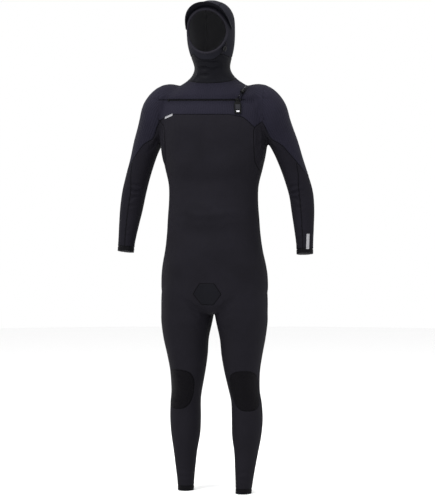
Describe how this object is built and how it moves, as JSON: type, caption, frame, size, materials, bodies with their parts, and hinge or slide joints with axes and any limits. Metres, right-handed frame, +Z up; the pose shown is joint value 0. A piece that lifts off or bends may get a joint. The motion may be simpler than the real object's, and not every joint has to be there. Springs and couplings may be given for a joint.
{
  "type": "full wetsuit",
  "caption": "Hooded full-length wetsuit with a chest entry zip, shaped as on a standing wearer: panelled trunk, sleeves, legs and hood with a soft brim, bending at the main joints.",
  "frame": {"origin": "the crotch point, in the middle of the trunk's width, as the suit hangs on a standing wearer", "axes": "+Z up along the body, -Y towards the wearer's front, +X towards the wearer's left"},
  "size_m": [0.7018, 0.286, 1.716],
  "materials": {
    "ribbed_neoprene": "ribbed stretch jersey over neoprene",
    "neoprene": "fine jersey over neoprene",
    "smooth_skin": "smooth satin neoprene",
    "knee_rubber": "textured abrasion pad",
    "hem_tape": "bonded stretch tape",
    "hard_plastic": "moulded black plastic",
    "cord": "elastic cord with a woven cover",
    "pale_print": "plain grey patch"
  },
  "bodies": {
    "torso": {"front_body_panel": "neoprene", "back_body_panel": "neoprene", "left_body_side_panel": "neoprene", "right_body_side_panel": "neoprene", "chest_zip_panel": "ribbed_neoprene", "entry_flap": "ribbed_neoprene", "left_chest_panel": "ribbed_neoprene", "back_yoke_panel": "ribbed_neoprene", "gusset_panel": "smooth_skin", "neck_front_panel": "smooth_skin", "neck_back_panel": "smooth_skin", "zip_tape": "hem_tape", "zip_chain": "hard_plastic", "zip_stop_right": "hard_plastic", "zip_stop_left": "hard_plastic", "chest_badge": "pale_print", "collar_cord": "cord"},
    "hood": {"hood_crown_panel": "neoprene", "left_hood_side_panel": "neoprene", "right_hood_side_panel": "neoprene", "face_binding": "hem_tape", "hood_cord": "cord"},
    "visor": {"visor_brim": "smooth_skin"},
    "left_upper_arm": {"left_armhole_panel": "ribbed_neoprene", "left_armpit_panel": "smooth_skin", "left_upper_sleeve": "ribbed_neoprene", "left_underarm_panel": "smooth_skin", "left_elbow_panel": "neoprene"},
    "left_forearm": {"left_forearm_sleeve": "neoprene", "left_wrist_cuff": "hem_tape", "left_sleeve_mark": "pale_print"},
    "left_thigh": {"left_hip_panel": "neoprene", "left_thigh_panel": "neoprene", "left_knee_pad": "knee_rubber", "left_knee_back_panel": "neoprene"},
    "left_lower_leg": {"left_lower_leg": "neoprene", "left_ankle_cuff": "hem_tape"},
    "right_upper_arm": {"right_armhole_panel": "ribbed_neoprene", "right_armpit_panel": "smooth_skin", "right_upper_sleeve": "ribbed_neoprene", "right_underarm_panel": "smooth_skin", "right_elbow_panel": "neoprene"},
    "right_forearm": {"right_forearm_sleeve": "neoprene", "right_wrist_cuff": "hem_tape"},
    "right_thigh": {"right_hip_panel": "neoprene", "right_thigh_panel": "neoprene", "right_knee_pad": "knee_rubber", "right_knee_back_panel": "neoprene"},
    "right_lower_leg": {"right_lower_leg": "neoprene", "right_ankle_cuff": "hem_tape"},
    "zip_slider": {"zip_slider": "hard_plastic"},
    "zip_pull_tab": {"zip_pull_tab": "hard_plastic"},
    "collar_cord_lock": {"collar_barrel": "hard_plastic"},
    "collar_lock_button": {"collar_button": "hard_plastic"},
    "hood_cord_lock": {"hood_barrel": "hard_plastic"},
    "hood_lock_button": {"hood_button": "hard_plastic"}
  },
  "joints": [
    {"name": "neck_bend", "type": "hinge", "parent": "torso", "child": "hood", "pos_m": [0, -0.02, 0.845], "axis": [1, 0, 0], "range_deg": [-15, 20], "stiffness_Nm_per_rad": 2.5, "deforming": ["neck_front_panel", "neck_back_panel"]},
    {"name": "brim_flip", "type": "hinge", "parent": "hood", "child": "visor", "pos_m": [0, -0.108, 1.05], "axis": [-1, 0, 0], "range_deg": [-10, 35], "stiffness_Nm_per_rad": 0.08, "deforming": ["visor_brim"]},
    {"name": "left_shoulder_swing", "type": "hinge", "parent": "torso", "child": "left_upper_arm", "pos_m": [0.196, 0.008, 0.69], "axis": [-1, 0, 0], "range_deg": [-20, 40], "stiffness_Nm_per_rad": 1.5, "deforming": ["left_armhole_panel", "left_armpit_panel"]},
    {"name": "left_elbow_bend", "type": "hinge", "parent": "left_upper_arm", "child": "left_forearm", "pos_m": [0.3, 0.046, 0.412], "axis": [-1, 0, 0], "range_deg": [0, 70], "stiffness_Nm_per_rad": 1, "deforming": ["left_elbow_panel"]},
    {"name": "left_hip_swing", "type": "hinge", "parent": "torso", "child": "left_thigh", "pos_m": [0.095, 0, 0.018], "axis": [-1, 0, 0], "range_deg": [-15, 45], "stiffness_Nm_per_rad": 2.5, "deforming": ["left_hip_panel"]},
    {"name": "left_knee_bend", "type": "hinge", "parent": "left_thigh", "child": "left_lower_leg", "pos_m": [0.105, 0.022, -0.27], "axis": [1, 0, 0], "range_deg": [0, 75], "stiffness_Nm_per_rad": 1.5, "deforming": ["left_knee_pad", "left_knee_back_panel"]},
    {"name": "right_shoulder_swing", "type": "hinge", "parent": "torso", "child": "right_upper_arm", "pos_m": [-0.196, 0.008, 0.69], "axis": [-1, 0, 0], "range_deg": [-20, 40], "stiffness_Nm_per_rad": 1.5, "deforming": ["right_armhole_panel", "right_armpit_panel"]},
    {"name": "right_elbow_bend", "type": "hinge", "parent": "right_upper_arm", "child": "right_forearm", "pos_m": [-0.3, 0.046, 0.412], "axis": [-1, 0, 0], "range_deg": [0, 70], "stiffness_Nm_per_rad": 1, "deforming": ["right_elbow_panel"]},
    {"name": "right_hip_swing", "type": "hinge", "parent": "torso", "child": "right_thigh", "pos_m": [-0.095, 0, 0.018], "axis": [-1, 0, 0], "range_deg": [-15, 45], "stiffness_Nm_per_rad": 2.5, "deforming": ["right_hip_panel"]},
    {"name": "right_knee_bend", "type": "hinge", "parent": "right_thigh", "child": "right_lower_leg", "pos_m": [-0.105, 0.022, -0.27], "axis": [1, 0, 0], "range_deg": [0, 75], "stiffness_Nm_per_rad": 1.5, "deforming": ["right_knee_pad", "right_knee_back_panel"]},
    {"name": "zip_travel", "type": "hinge", "parent": "torso", "child": "zip_slider", "pos_m": [0, 0.20089, 0.738], "axis": [0, 0, 1], "range_deg": [-47.1, 0]},
    {"name": "pull_tab_swing", "type": "hinge", "parent": "zip_slider", "child": "zip_pull_tab", "pos_m": [0.10271, -0.08735, 0.738], "axis": [-0.942, -0.3357, 0], "range_deg": [0, 110]},
    {"name": "collar_lock_slide", "type": "slide", "parent": "torso", "child": "collar_cord_lock", "axis": [0.2873, 0.6961, 0.658], "range_m": [-0.0118, 0.0118]},
    {"name": "collar_button_press", "type": "slide", "parent": "collar_cord_lock", "child": "collar_lock_button", "axis": [-0.2873, -0.6961, -0.658], "range_m": [0, 0.003], "stiffness_N_per_m": 500, "springref_m": -0.001},
    {"name": "hood_lock_slide", "type": "slide", "parent": "hood", "child": "hood_cord_lock", "axis": [0.3886, 0.0972, 0.9163], "range_m": [-0.0046, 0.0046]},
    {"name": "hood_button_press", "type": "slide", "parent": "hood_cord_lock", "child": "hood_lock_button", "axis": [-0.3886, -0.0972, -0.9163], "range_m": [0, 0.003], "stiffness_N_per_m": 500, "springref_m": -0.001}
  ]
}
